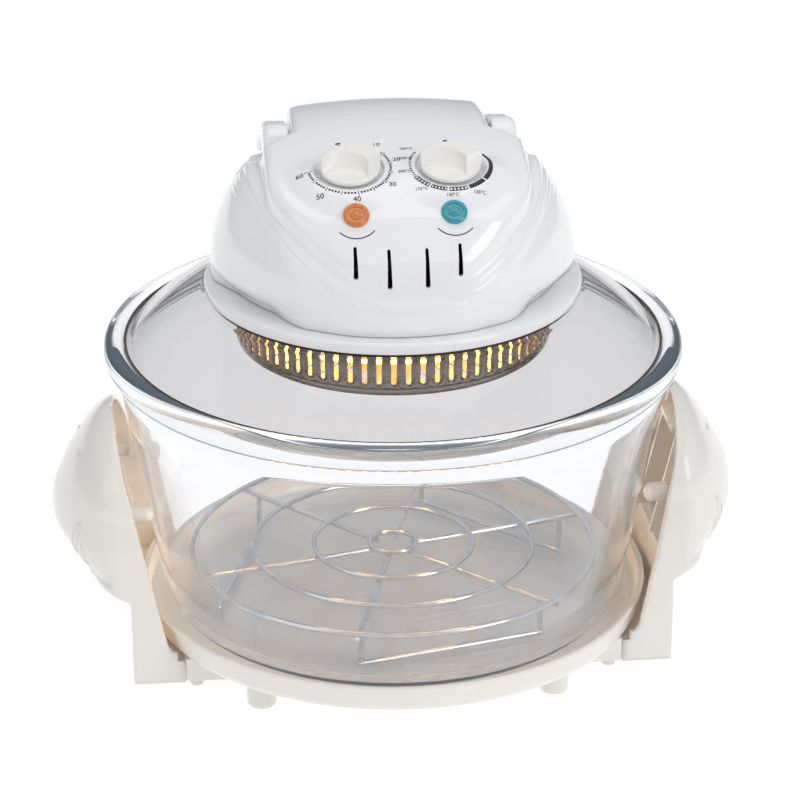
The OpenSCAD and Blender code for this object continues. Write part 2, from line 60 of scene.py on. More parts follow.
# ---- Places and sizes taken from the frame, in millimetres ----
RIM_R = corner("glass_bowl", True)[0]
RIM_TOP = corner("glass_bowl", True)[2]
BOWL_FLOOR = corner("glass_bowl", False)[2]
LID_LOW = corner("lid_glass", False)[2]
LAND_Z = corner("lid_glass", True)[2]
SEAL_R = corner("lid_seal", True)[0]
RING_LOW, RING_R = corner("head_ring", False)[2], corner("head_ring", True)[0]
COVER_LOW = corner("head_cover", False)[2]
WING_TOP = corner("handle_right", True)[2]
EAR_OUT = corner("carry_handle", True)[0]
PIVOT = np.array(next(j["pos_m"] for j in frame["joints"] if j["name"] == "handle_fold")) / MM

# ---- Sizes of the looks, in millimetres ----
DISH_R = 153.0
DISH_LOW, DISH_TOP = 20.0, 38.5
BLOCK_IN, BLOCK_Y, BLOCK_LOW = 95.0, 76.0, 6.0
SEAM_X, ARM_X = 129.5, 160.5        # where a wing meets its side block, and its arm's outer edge
DOME = (106.2, 101.0)               # half widths of the domed cover in X and Y
DOME_Z, DOME_HIGH, DOME_LOW = 240.0, 93.0, 75.0
GUTTER_Z, GUTTER_RISE = 253.0, 0.0073
CROWN = 840.0                       # the hood's top falls off sideways by x squared over this
DIAL, DIAL_TILT = (28.4, -41.0, 309.9), math.radians(18)
LENS, LENS_TILT = (27.2, -72.9, 292.9), math.radians(39)
KNOB_R, KNOB_WELL_R, KNOB_WELL = 17.4, 19.2, 2.4
EAR_IN, EAR_R = 59.0, 14.0
GRIP_Y, GRIP_Z, GRIP_R = 105.0, 277.3, 7.0
GUARD_R, GUARD_SLOTS, GUARD_DROP = 91.5, 70, 3.5
LAMP_R, LAMP_Z = 68.0, 209.0


# ---- Numbers and curves ----
def step(a, b, t):
    """Smooth step of t from a to b."""
    u = np.clip((t - a) / (b - a), 0, 1)
    return u * u * (3 - 2 * u)


def smooth_max(a, b, k):
    """The larger of two values, blended over a width k where they are close."""
    h = np.clip(0.5 + 0.5 * (a - b) / k, 0, 1)
    return b + (a - b) * h + k * h * (1 - h)


def smooth_min(a, b, k):
    return -smooth_max(-a, -b, k)


def bezier(points, n=12):
    """Points of a Bezier curve of any degree."""
    t = np.linspace(0, 1, n + 1)[:, None]
    pts, deg = np.array(points, float), len(points) - 1
    return sum(math.comb(deg, i) * (1 - t) ** (deg - i) * t ** i * pts[i] for i in range(deg + 1))


def eased(x, table):
    """Smooth curve through a table of (x, y) rows, without overshoot."""
    xs, ys = np.asarray(table, float).T
    rise = np.diff(ys) / np.diff(xs)
    slope = np.concatenate([[rise[0]], np.where(rise[1:] * rise[:-1] > 0, 2 * rise[1:] * rise[:-1] /
                            (rise[1:] + rise[:-1] + 1e-12), 0), [rise[-1]]])
    i = int(np.clip(np.searchsorted(xs, x) - 1, 0, len(rise) - 1))
    w = xs[i + 1] - xs[i]
    t = min(max((x - xs[i]) / w, 0), 1)
    return float(ys[i] * (2 * t ** 3 - 3 * t ** 2 + 1) + ys[i + 1] * (3 * t ** 2 - 2 * t ** 3) +
                 w * slope[i] * (t ** 3 - 2 * t ** 2 + t) + w * slope[i + 1] * (t ** 3 - t ** 2))


def rounded(corners, n=6, closed=True):
    """A polygon of (x, y, radius) corners with each corner rounded."""
    out, count = [], len(corners)
    for i, (x, y, r) in enumerate(corners):
        here = np.array([x, y], float)
        if r <= 0 or (not closed and i in (0, count - 1)):
            out.append(here)
            continue
        ends = []
        for other in (corners[i - 1], corners[(i + 1) % count]):
            d = np.array(other[:2], float) - here
            length = np.linalg.norm(d)
            ends.append(here + d / length * min(r, length * 0.48))
        out += list(bezier([ends[0], here, ends[1]], n))
    return np.array(out)


def polygon_distance(px, py, poly):
    """Signed distance of points to a polygon, negative inside."""
    best = np.full(px.shape, 1e18)
    inside = np.zeros(px.shape, bool)
    for (ax, ay), (bx, by) in zip(poly, np.roll(poly, -1, 0)):
        ex, ey, wx, wy = bx - ax, by - ay, px - ax, py - ay
        t = np.clip((wx * ex + wy * ey) / (ex * ex + ey * ey + 1e-12), 0, 1)
        best = np.minimum(best, (wx - t * ex) ** 2 + (wy - t * ey) ** 2)
        inside ^= ((ay > py) != (by > py)) & (px < ex * (py - ay) / (ey + 1e-12) + ax)
    return np.where(inside, -1, 1) * np.sqrt(best)


# ---- Mesh making ----
def make(name, verts, faces, body, slot=None, material=None, stands_for=(), sharp=40):
    """A mesh object in the row frame, from millimetres, riding on a body."""
    mesh = bpy.data.meshes.new(name)
    mesh.from_pydata([tuple(float(c) * MM for c in v) for v in verts], [], faces)
    bm = bmesh.new()
    bm.from_mesh(mesh)
    bmesh.ops.recalc_face_normals(bm, faces=bm.faces)
    bm.to_mesh(mesh)
    bm.free()
    obj = bpy.data.objects.new(name, mesh)
    bpy.context.collection.objects.link(obj)
    mesh.shade_smooth()
    if sharp:
        mesh.set_sharp_from_angle(angle=math.radians(sharp))
    mesh.materials.append(material or MATERIALS[slot])
    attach(obj, body)
    if stands_for:
        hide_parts(*stands_for)
    return obj


def modify(obj, kind, **settings):
    """Add a modifier with its settings."""
    modifier = obj.modifiers.new(kind.lower(), kind)
    for key, value in settings.items():
        setattr(modifier, key, value)


def face_out(obj, centre=(0, 0, 0)):
    """Turn an open shell's normals away from a point, in millimetres."""
    middle = Vector(centre) * MM
    if sum((p.center - middle).dot(p.normal) for p in obj.data.polygons) < 0:
        obj.data.flip_normals()


def grid_faces(rows, cols, wrap):
    """Quads between rows of points, joined end to end if they wrap."""
    span = cols if wrap else cols - 1
    return [(i * cols + j, i * cols + (j + 1) % cols, (i + 1) * cols + (j + 1) % cols,
             (i + 1) * cols + j) for i in range(rows - 1) for j in range(span)]


def loft(loops, cap=True):
    """Skin through closed loops of equal length, with its two ends closed."""
    loops = [np.asarray(p, float) for p in loops]
    n = len(loops[0])
    faces = grid_faces(len(loops), n, True)
    if cap:
        faces += [tuple(range(n)), tuple(range((len(loops) - 1) * n, len(loops) * n))]
    return np.vstack(loops), faces


def lathe(profile, seg=192):
    """A solid of revolution from the outline (r, z) of its section."""
    verts, rows = [], []
    turn = np.linspace(0, 2 * math.pi, seg, endpoint=False)
    for r, z in profile:
        if r < 1e-6:
            rows.append([len(verts)] * seg)
            verts.append((0, 0, z))
        else:
            rows.append(list(range(len(verts), len(verts) + seg)))
            verts += [(r * math.cos(a), r * math.sin(a), z) for a in turn]
    if profile[0][0] > 1e-6 or profile[-1][0] > 1e-6:
        rows.append(rows[0])
    faces = []
    for lo, hi in zip(rows, rows[1:]):
        for j in range(seg):
            k = (j + 1) % seg
            face = list(dict.fromkeys((lo[j], lo[k], hi[k], hi[j])))
            if len(face) > 2:
                faces.append(tuple(face))
    return verts, faces


def tube(path, radius, seg=12, closed=False):
    """A round tube along a path."""
    path = np.asarray(path, float)
    ahead = np.roll(path, -1, 0) - np.roll(path, 1, 0)
    if not closed:
        ahead[0], ahead[-1] = path[1] - path[0], path[-1] - path[-2]
    ahead /= np.linalg.norm(ahead, axis=1)[:, None]
    side = np.cross(ahead[0], [0.3, 0.2, 0.93])
    side /= np.linalg.norm(side)
    loops = []
    for p, d in zip(path, ahead):
        side = side - d * side.dot(d)
        side /= np.linalg.norm(side)
        up = np.cross(d, side)
        loops.append([p + radius * (math.cos(a) * side + math.sin(a) * up)
                      for a in np.linspace(0, 2 * math.pi, seg, endpoint=False)])
    if closed:
        verts, faces = loft(loops, cap=False)
        last = (len(path) - 1) * seg
        return verts, faces + [(last + j, last + (j + 1) % seg, (j + 1) % seg, j)
                               for j in range(seg)]
    return loft(loops)


def joined(*parts):
    """Several (verts, faces) as one."""
    verts, faces = [], []
    for v, f in parts:
        base = len(verts)
        verts += [tuple(p) for p in v]
        faces += [tuple(i + base for i in face) for face in f]
    return verts, faces


def mirrored(part):
    verts, faces = part
    return [(-v[0], v[1], v[2]) for v in verts], faces


def block(x0, x1, y0, y1, z0, z1):
    """A plain bar between two corners."""
    outline = [(x0, y0), (x1, y0), (x1, y1), (x0, y1)]
    return loft([[(x, y, z) for x, y in outline] for z in (z0, z1)])


# ---- Materials ----
def shader(name):
    material = bpy.data.materials.new(name)
    material.use_nodes = True
    return material, material.node_tree, material.node_tree.nodes["Principled BSDF"]


def noise(tree, scale, detail=4.0, stretch=(1, 1, 1)):
    """A noise texture's value on the object's own coordinates."""
    coords = tree.nodes.new("ShaderNodeTexCoord")
    mapping = tree.nodes.new("ShaderNodeMapping")
    mapping.inputs["Scale"].default_value = stretch
    tex = tree.nodes.new("ShaderNodeTexNoise")
    tex.inputs["Scale"].default_value = scale
    tex.inputs["Detail"].default_value = detail
    tree.links.new(coords.outputs["Object"], mapping.inputs["Vector"])
    tree.links.new(mapping.outputs["Vector"], tex.inputs["Vector"])
    return tex.outputs["Fac"]


def spread(tree, value, low, high):
    """A noise value mapped to the range from low to high."""
    ramp = tree.nodes.new("ShaderNodeMapRange")
    ramp.inputs["From Min"].default_value = 0.3
    ramp.inputs["From Max"].default_value = 0.7
    ramp.inputs["To Min"].default_value = low
    ramp.inputs["To Max"].default_value = high
    tree.links.new(value, ramp.inputs["Value"])
    return ramp.outputs["Result"]


def colours(tree, value, low, high):
    """A noise value mapped to a colour between two."""
    ramp = tree.nodes.new("ShaderNodeValToRGB")
    ramp.color_ramp.elements[0].color = (*low, 1)
    ramp.color_ramp.elements[0].position = 0.3
    ramp.color_ramp.elements[1].color = (*high, 1)
    ramp.color_ramp.elements[1].position = 0.7
    tree.links.new(value, ramp.inputs["Fac"])
    return ramp.outputs["Color"]


def bump(tree, value, bsdf, depth):
    node = tree.nodes.new("ShaderNodeBump")
    node.inputs["Distance"].default_value = depth
    tree.links.new(value, node.inputs["Height"])
    tree.links.new(node.outputs["Normal"], bsdf.inputs["Normal"])


def plastic(name, colour, rough, coat=0.0):
    """Moulded plastic: faint flow marks in its colour, gloss and surface."""
    material, tree, bsdf = shader(name)
    flow = noise(tree, 18, 3)
    tree.links.new(colours(tree, flow, [c * 0.985 for c in colour], colour),
                   bsdf.inputs["Base Color"])
    tree.links.new(spread(tree, noise(tree, 90, 5), rough * 0.85, rough * 1.2),
                   bsdf.inputs["Roughness"])
    bump(tree, noise(tree, 260, 4), bsdf, 0.00002)
    bsdf.inputs["IOR"].default_value = 1.5
    bsdf.inputs["Coat Weight"].default_value = coat
    bsdf.inputs["Coat Roughness"].default_value = 0.04
    bsdf.inputs["Subsurface Weight"].default_value = 0.06
    bsdf.inputs["Subsurface Radius"].default_value = (0.004, 0.004, 0.0035)
    return material


def metal(name, colour, rough, stretch=(1, 1, 1), depth=0.00002):
    """Metal with fine marks, drawn out along its grain where stretch is uneven."""
    material, tree, bsdf = shader(name)
    marks = noise(tree, 160, 5, stretch)
    tree.links.new(colours(tree, marks, [c * 0.86 for c in colour], colour),
                   bsdf.inputs["Base Color"])
    tree.links.new(spread(tree, marks, rough * 0.7, rough * 1.3), bsdf.inputs["Roughness"])
    bsdf.inputs["Metallic"].default_value = 1.0
    bump(tree, marks, bsdf, depth)
    return material


def dull(name, low, high, rough, scale=240, depth=0.00006):
    """Rubber, ceramic, fibre or painted print."""
    material, tree, bsdf = shader(name)
    grain = noise(tree, scale, 6)
    tree.links.new(colours(tree, grain, low, high), bsdf.inputs["Base Color"])
    tree.links.new(spread(tree, grain, rough * 0.9, min(1, rough * 1.1)),
                   bsdf.inputs["Roughness"])
    bump(tree, grain, bsdf, depth)
    return material


def let_light_through(tree, bsdf):
    """Shadow rays pass the glass, so lamps reach what is behind it."""
    path = tree.nodes.new("ShaderNodeLightPath")
    clear = tree.nodes.new("ShaderNodeBsdfTransparent")
    mix = tree.nodes.new("ShaderNodeMixShader")
    tree.links.new(path.outputs["Is Shadow Ray"], mix.inputs[0])
    tree.links.new(bsdf.outputs["BSDF"], mix.inputs[1])
    tree.links.new(clear.outputs["BSDF"], mix.inputs[2])
    out = next(n for n in tree.nodes if n.type == "OUTPUT_MATERIAL")
    tree.links.new(mix.outputs["Shader"], out.inputs["Surface"])


def glass(name, colour, rough, ior, painted_glow=0.0):
    """Pressed glass: slight waves and, if asked, a faint cool painted glow: the glass emits light over itself and
    what is behind it, though it is no lamp.
    """
    material, tree, bsdf = shader(name)
    bsdf.inputs["Base Color"].default_value = (*colour, 1)
    bsdf.inputs["Transmission Weight"].default_value = 1.0
    bsdf.inputs["IOR"].default_value = ior
    # Painted glow: a faint cool emission that lightens the glass and its dark edges.
    bsdf.inputs["Emission Color"].default_value = (0.55, 0.78, 1.0, 1)
    bsdf.inputs["Emission Strength"].default_value = painted_glow
    tree.links.new(spread(tree, noise(tree, 30, 4), rough * 0.5, rough * 1.5),
                   bsdf.inputs["Roughness"])
    bump(tree, noise(tree, 14, 2), bsdf, 0.00003)
    let_light_through(tree, bsdf)
    return material


def lens_plastic(name, deep, light, glow):
    """Coloured clear plastic with moulded rings, lit faintly from behind."""
    material, tree, bsdf = shader(name)
    tree.links.new(colours(tree, noise(tree, 700, 3), deep, light), bsdf.inputs["Base Color"])
    bsdf.inputs["Roughness"].default_value = 0.12
    bsdf.inputs["Coat Weight"].default_value = 0.6
    bsdf.inputs["Emission Color"].default_value = (*light, 1)
    bsdf.inputs["Emission Strength"].default_value = glow
    bump(tree, noise(tree, 500, 2), bsdf, 0.00002)
    return material


def lit(name, colour, strength):
    """Something hot that glows, a little unevenly."""
    material, tree, bsdf = shader(name)
    bsdf.inputs["Base Color"].default_value = (*colour, 1)
    bsdf.inputs["Emission Color"].default_value = (*colour, 1)
    tree.links.new(spread(tree, noise(tree, 60, 2), strength * 0.85, strength),
                   bsdf.inputs["Emission Strength"])
    return material


WARM_WHITE = (0.79, 0.77, 0.725)
COOL_WHITE = (0.845, 0.85, 0.862)
MATERIALS = {
    "base_plastic": plastic("base_plastic", WARM_WHITE, 0.22, coat=0.3),
    "foot_plastic": plastic("foot_plastic", (0.78, 0.76, 0.715), 0.2, coat=0.3),
    # The clear glass gets a faint painted glow that lifts its dark edges.
    "clear_glass": glass("clear_glass", (0.905, 0.91, 0.92), 0.004, 1.36, painted_glow=0.017),
    "rack_wire": metal("rack_wire", (0.82, 0.83, 0.85), 0.12),
    "gasket_rubber": dull("gasket_rubber", (0.012, 0.012, 0.013), (0.03, 0.03, 0.032), 0.45),
    "seal_rubber": dull("seal_rubber", (0.018, 0.010, 0.007), (0.045, 0.026, 0.018), 0.35),
    "head_plastic": plastic("head_plastic", COOL_WHITE, 0.16, coat=0.5),
    "knob_plastic": plastic("knob_plastic", (0.85, 0.835, 0.79), 0.26, coat=0.15),
    "amber_lens": lens_plastic("amber_lens", (0.50, 0.14, 0.015), (0.66, 0.20, 0.03), 0.05),
    "teal_lens": lens_plastic("teal_lens", (0.0, 0.20, 0.25), (0.015, 0.33, 0.40), 0.05),
    "lamp_body": plastic("lamp_body", (0.80, 0.78, 0.70), 0.4),
    "control_case": plastic("control_case", (0.55, 0.56, 0.60), 0.35),
    "motor_steel": metal("motor_steel", (0.45, 0.46, 0.48), 0.35, (1, 1, 14)),
    "zinc_steel": metal("zinc_steel", (0.66, 0.67, 0.69), 0.3),
    "bright_steel": metal("bright_steel", (0.30, 0.255, 0.22), 0.26, (1, 1, 12), 0.00003),
    "insulation": dull("insulation", (0.55, 0.50, 0.40), (0.78, 0.73, 0.62), 0.95, 400, 0.0004),
    "quartz": glass("quartz", (1.0, 0.95, 0.84), 0.03, 1.45),
    "white_ceramic": dull("white_ceramic", (0.74, 0.72, 0.66), (0.82, 0.80, 0.75), 0.3),
    "black_plastic": plastic("black_plastic", (0.03, 0.03, 0.033), 0.42),
    "red_plastic": plastic("red_plastic", (0.60, 0.06, 0.035), 0.3),
    "dark_fan": plastic("dark_fan", (0.09, 0.09, 0.10), 0.45),
    "fan_aluminium": metal("fan_aluminium", (0.83, 0.84, 0.85), 0.2),
}
LID_GLASS = glass("lid_grey_glass", (0.69, 0.68, 0.685), 0.004, 1.24)
GUARD_PAN = metal("guard_pan_steel", (0.78, 0.70, 0.60), 0.45)
PRINT = dull("dial_print", (0.006, 0.006, 0.007), (0.014, 0.014, 0.016), 0.4, 500, 0.00001)
GLOW = lit("hot_filament", (1.0, 0.60, 0.17), 22)


# ---- Base ----
def dish():
    lip, wall, floor = 1.7, 3.4, 4.0
    section = rounded([(0, DISH_LOW, 0), (DISH_R - wall, DISH_LOW, 8), (DISH_R, DISH_TOP, lip),
                       (DISH_R - wall, DISH_TOP, lip), (DISH_R - 6.6, DISH_LOW + floor, 7),
                       (0, DISH_LOW + floor, 0)], 8, closed=False)
    return lathe(section, 256)


def plan(x0, x1, half, inset, r):
    """Rounded rectangle in plan, drawn in by an inset."""
    return rounded([(x0 + inset, -half + inset, r), (x1 - inset, -half + inset, r),
                    (x1 - inset, half - inset, r), (x0 + inset, half - inset, r)], 4)


def side_block(x0, x1, top):
    """Hollow block, open below, under the dish."""
    wall = 3.0
    stages = [(0, top), (0, BLOCK_LOW + 1), (0.4, BLOCK_LOW + 0.25), (1, BLOCK_LOW),
              (wall, BLOCK_LOW), (wall, top - wall)]
    return loft([[(x, y, z) for x, y in plan(x0, x1, BLOCK_Y, i, 1.2)] for i, z in stages])


def base():
    blocks = side_block(BLOCK_IN, SEAM_X - 0.15, DISH_LOW + 1)
    verts, faces = joined(dish(), blocks, mirrored(blocks))
    make("base_dish_looks", verts, faces, "base", "base_plastic", stands_for=["base_dish"])


def feet():
    low, high = corner("large_feet", False), corner("large_feet", True)
    r, top = 8.5, DISH_LOW + 0.5
    inset = r + 0.6
    section = rounded([(0, 0, 0), (r, 0, 1.4), (r + 0.5, top, 0), (0, top, 0)], 5, closed=False)
    parts = []
    for x in (low[0] + inset, high[0] - inset):
        for y in (low[1] + inset, high[1] - inset):
            verts, faces = lathe(section, 48)
            parts.append(([(vx + x, vy + y, vz) for vx, vy, vz in verts], faces))
    make("large_feet_looks", *joined(*parts), "base", "foot_plastic", stands_for=["large_feet"])


# ---- Wing handles: rows of height and how far out, or how wide, the wing is there ----
NOSE = np.array([(6, 160.5), (56, 160.6), (58.5, 167), (63, 178), (70, 190.4), (80, 200.4),
                 (90, 204.3), (101, 203.2), (118, 196.4), (133, 187.2), (143, 180), (149, 173.6),
                 (151.5, 168.5)])
WIDTH = np.array([(6, 76.0), (29, 76.0), (61, 72), (84, 68), (105, 63)])
INNER = np.array([(6, 129.6), (19.7, 129.6), (19.9, 133.8), (25.4, 133.8), (25.7, 137),
                  (27.5, 137.6), (29, 139), (151.5, 166.1)])
FLANGE_X = 165.5
ARCH_Z = 105.0


def wing_row(z, steps=72):
    """Plan outline of a wing at one height, from the front inner edge round to the rear one."""
    nose = eased(z, NOSE)
    inner = np.interp(z, *INNER.T)
    arch = max(0.0, 1 - ((z - ARCH_Z) / (WING_TOP - ARCH_Z)) ** 2) ** 0.5
    half = eased(z, WIDTH) if z < ARCH_Z else WIDTH[-1][1] * arch
    soft = float(step(57, 70, z))
    start = min((ARM_X - 3.5) * (1 - soft) + FLANGE_X * soft, nose - 0.8)
    start = max(start, inner + 0.3)
    power = 2 / (6 - 4.2 * soft)
    t = np.linspace(-math.pi / 2, math.pi / 2, steps)
    y = half * np.sign(np.sin(t)) * np.abs(np.sin(t)) ** power
    x = start + max(nose - start, 0.2) * np.abs(np.cos(t)) ** power
    flat = np.linspace(inner, start, 6)[:-1]
    front = [(fx, -half, z) for fx in flat]
    back = [(fx, half, z) for fx in flat[::-1]]
    return np.array(front + list(zip(x, y, np.full(steps, z))) + back)


def wing_x(y, z):
    """Where the outside of the wing is at a place across it."""
    row = wing_row(z)
    outer = row[row[:, 0] >= row[:, 0].max() - 60]
    order = np.argsort(outer[:, 1])
    return float(np.interp(y, outer[order][:, 1], outer[order][:, 0]))


def wing_shell():
    """The wing's outside, its rows closest where its outline turns."""
    foot = [*np.linspace(6, 19.7, 4), 19.9, 22, 25.4, 25.7, 27.5, *np.linspace(29, 56, 8)]
    side = [*np.linspace(57, 64, 12), *np.linspace(65, ARCH_Z, 30)[:-1]]
    arch = [ARCH_Z + (WING_TOP - ARCH_Z) * math.sin(a) for a in np.linspace(0, 1.535, 40)]
    rows = [wing_row(z) for z in foot + side + arch]
    return np.vstack(rows), grid_faces(len(rows), len(rows[0]), False)


def rib(y):
    """A rib across the hollow of a wing."""
    half = 1.25
    heights = np.linspace(63, 144, 18)
    outer = [(wing_x(y, z) - 1.5, z) for z in heights]
    inner = [(np.interp(z, *INNER.T) + 7, z) for z in heights]
    outline = outer + inner[::-1]
    return loft([[(x, y + s * half, z) for x, z in outline] for s in (-1, 1)])


def wing_inside():
    """Ribs, stop, arm floor and inner wall."""
    stop = block(165, wing_x(0, 130) - 1.5, -20, 20, 128, 131)
    floor = block(SEAM_X + 0.2, ARM_X - 2, -BLOCK_Y + 2, BLOCK_Y - 2, 16.8, 19.7)
    wall = block(SEAM_X + 0.15, SEAM_X + 3, -BLOCK_Y + 1, BLOCK_Y - 1, BLOCK_LOW + 0.3, 19.5)
    return joined(rib(-20), rib(20), stop, floor, wall)


def crescents():
    """Two thin raised lens outlines on the lower front of a wing."""
    paths = []
    for shift in (0.0, -13.0):
        loop = []
        for t in np.linspace(0, 2 * math.pi, 40, endpoint=False):
            along = math.cos(t) * 15
            across = math.sin(t) * 2.2 * (1 - 0.25 * math.sin(t)) * abs(math.sin(t)) ** 0.2
            z = 88 + shift + along * 0.78
            y = -46 + across + shift * 0.25 - along * 0.2
            loop.append((wing_x(y, z) + 0.05, y, z))
        paths.append(tube(loop, 0.5, 10, closed=True))
    return joined(*paths)


def wings():
    for name, side in (("handle_right", 1), ("handle_left", -1)):
        shell, inside, raised = wing_shell(), wing_inside(), crescents()
        if side < 0:
            shell, inside, raised = mirrored(shell), mirrored(inside), mirrored(raised)
        skin = make(name + "_shell", *shell, "base", "base_plastic", stands_for=[name], sharp=35)
        face_out(skin, (side * 150, 0, 80))
        modify(skin, "SOLIDIFY", thickness=3 * MM, offset=-1, use_rim=True)
        make(name + "_inside", *inside, "base", "base_plastic")
        make(name + "_crescents", *raised, "base", "base_plastic")


# ---- Bowl and lid ----
def bowl():
    """Outside from the floor up to the bead of the rim, then down its ledge and the inside."""
    r, low, foot_r = RIM_R, BOWL_FLOOR, 139.5
    inside_r, floor = foot_r - 5.5, BOWL_FLOOR + 5.1
    lip, ledge = SEAL_R + 0.4, LID_LOW - 0.2
    outer = np.vstack([[(0, low)], bezier([(118, low), (136, low), (foot_r, 40)], 14),
                       bezier([(r - 7, 178.5), (r - 0.6, 180.2), (r, 187.5)], 14),
                       bezier([(r, 187.5), (r, RIM_TOP), (r - 6.5, RIM_TOP)], 12)[1:],
                       bezier([(r - 6.5, RIM_TOP), (lip + 0.1, RIM_TOP), (lip, 190.5)], 10)[1:]])
    inner = np.vstack([rounded([(lip, 190, 0), (lip, ledge, 0.8), (154, ledge, 1),
                                (154.4, 178, 8), (155.2, 168, 3), (inside_r, 44, 0)], 5,
                               closed=False),
                       bezier([(inside_r, 44), (132, floor), (116, floor)], 14)[1:],
                       [(0, floor)]])
    make("glass_bowl_looks", *lathe(np.vstack([outer, inner]), 256), "bowl", "clear_glass",
         stands_for=["glass_bowl"], sharp=60)


def lid():
    """A domed shell from the land under the head down to its edge, and the seal round that."""
    edge = SEAL_R - 1.4
    section = np.vstack([
        rounded([(97, LAND_Z - 5, 0.6), (97, LAND_Z, 0.6), (111, LAND_Z, 0)], 4, closed=False),
        bezier([(111, LAND_Z), (137, 213.5), (edge, LID_LOW + 4.2)], 32)[1:],
        [(edge, LID_LOW)],
        bezier([(edge - 3.6, LID_LOW), (133.4, 209), (108.5, LAND_Z - 5)], 32)])
    make("lid_glass_looks", *lathe(section, 256), "head", "clear_glass", LID_GLASS,
         stands_for=["lid_glass"], sharp=50)
    seal = rounded([(edge + 0.05, LID_LOW + 2.8, 0), (SEAL_R, LID_LOW + 2.8, 0.4),
                    (SEAL_R, LID_LOW + 6.0, 0.5), (edge + 0.05, LID_LOW + 6.1, 0.3)], 5)
    make("lid_seal_looks", *lathe(seal, 256), "head", "seal_rubber", stands_for=["lid_seal"])


# ---- Head cover ----
def hood_outline():
    """Shield shape of the control hood in plan."""
    side, nose, tongue = 75.0, 99.0, 57.5
    right = np.vstack([bezier([(0, -nose), (38, -nose), (side - 1.5, -66), (side, -40)], 18),
                       [(side, -1)], [(tongue, 13)],
                       bezier([(tongue, 62), (46, 81), (0, 84)], 10)])
    left = right[-2:0:-1] * [-1, 1]
    return np.vstack([right, left])


def top_outline():
    """Side outline of the hood's front, top and back, in Y and Z."""
    return np.vstack([[(-135, 200), (-135, 238)], [(-97.4, 252.0), (-91.2, 271.5)],
                      bezier([(-76, 291.2), (-64, 301.2), (-40, 312.4), (-12, 316.2)], 12),
                      bezier([(-12, 316.2), (24, 321.6), (58, 316.8)], 8)[1:],
                      bezier([(58, 316.8), (78, 314.5), (84, 292)], 8)[1:],
                      [(110, 282), (135, 240), (135, 200)]])


HOOD_OUTLINE, TOP_OUTLINE = hood_outline(), top_outline()


def panel_frame(place, tilt, side):
    """Centre and the three directions (across, up the panel, out of it) of a dial or lens."""
    centre = np.array([side * place[0], place[1], place[2]])
    return (centre, np.array([1.0, 0, 0]), np.array([0, math.cos(tilt), math.sin(tilt)]),
            np.array([0, -math.sin(tilt), math.cos(tilt)]))


def cover_field(p):
    """Below zero inside the head cover, about the distance to its surface in millimetres."""
    x, y, z = p[:, 0], p[:, 1], p[:, 2]
    tall = np.where(z > DOME_Z, DOME_HIGH, DOME_LOW)
    dome = (np.sqrt((x / DOME[0]) ** 2 + (y / DOME[1]) ** 2 + ((z - DOME_Z) / tall) ** 2) - 1) * 98
    angle = np.degrees(np.arctan2(np.abs(x), -y))
    scoop = step(33, 54, angle) * (1 - step(73, 92, angle)) * (1 - step(230.5, 245.5, z))
    over = (z - GUTTER_Z - GUTTER_RISE * x * x) / np.sqrt(1 + (2 * GUTTER_RISE * x) ** 2)
    gutter = 3.0 * step(-5.5, 0.5, over) + 0.5 * np.exp(-((over + 7.5) / 1.6) ** 2)
    cheek = step(-7, -16, over) * step(16, 30, angle) * (1 - step(60, 80, angle))
    lines = sum(np.exp(-((over + k) / 0.5) ** 2) for k in (12, 15, 18)) * step(58, 70, angle)
    dome = dome + 9 * scoop + gutter + 1.2 * cheek + 0.22 * lines * (1 - step(95, 108, angle))
    hood = np.maximum(polygon_distance(x, y, HOOD_OUTLINE), 244 - z)
    centre, across, up, out = panel_frame(DIAL, DIAL_TILT, 1)
    q = np.stack([np.abs(x), y, z], 1) - centre
    r, h = np.hypot(q @ across, q @ up), q @ out
    flat = (1 - step(21, 37, r)) * (1 - step(-4, 16, q @ up)) * (h > -20)
    top = polygon_distance(y, z + x * x / CROWN, TOP_OUTLINE)
    f = smooth_max(smooth_min(dome, hood, 2.6), top * (1 - flat) + h * flat, 6.0)
    ear = np.minimum(np.hypot(y - PIVOT[1], z - PIVOT[2]) - 15.2, np.maximum(296 - z, PIVOT[1] - y))
    f = smooth_max(f, -np.maximum(57.5 - np.abs(x), ear), 1.2)
    return smooth_max(f, -np.maximum(r - KNOB_WELL_R, -KNOB_WELL - h), 1.6)


def surface_along(start, direction, reach, stride):
    """Where rays from outside first meet the cover: start plus direction times the answer."""
    low, t = reach[0], float(reach[1])
    far = np.full(len(start), t)
    near = far.copy()
    missed = np.ones(len(start), bool)
    while missed.any() and t > low:
        t -= stride
        hit = missed & (cover_field(start + direction * t) < 0)
        near[hit], far[hit] = t, t + stride
        missed &= ~hit
    for _ in range(9):
        mid = (near + far) / 2
        inside = cover_field(start + direction * mid[:, None]) < 0
        near, far = np.where(inside, mid, near), np.where(inside, far, mid)
    return (near + far) / 2


def cover_shell():
    """The cover's skin, met by rays from its axis: rings at its foot, then a fan over its top."""
    cols, rows = ((620, 176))
    turn = np.linspace(0, 2 * math.pi, cols, endpoint=False)
    flat = np.stack([np.cos(turn), np.sin(turn), np.zeros(cols)], 1)
    starts, ways = [], []
    for z in np.linspace(COVER_LOW - 0.4, DOME_Z - 0.8, 9):
        starts.append(np.tile([0, 0, z], (cols, 1)))
        ways.append(flat)
    for e in np.linspace(0, math.pi / 2, rows)[:-1]:
        starts.append(np.tile([0, 0, DOME_Z], (cols, 1)))
        ways.append(flat * math.cos(e) + [0, 0, math.sin(e)])
    starts.append(np.array([[0, 0, DOME_Z]]))
    ways.append(np.array([[0, 0, 1.0]]))
    start, way = np.vstack(starts), np.vstack(ways)
    points = start + way * surface_along(start, way, (40, 120), 3.0)[:, None]
    count = len(starts) - 1
    faces = grid_faces(count, cols, True)
    last = (count - 1) * cols
    faces += [(last + j, last + (j + 1) % cols, count * cols) for j in range(cols)]
    return points, faces


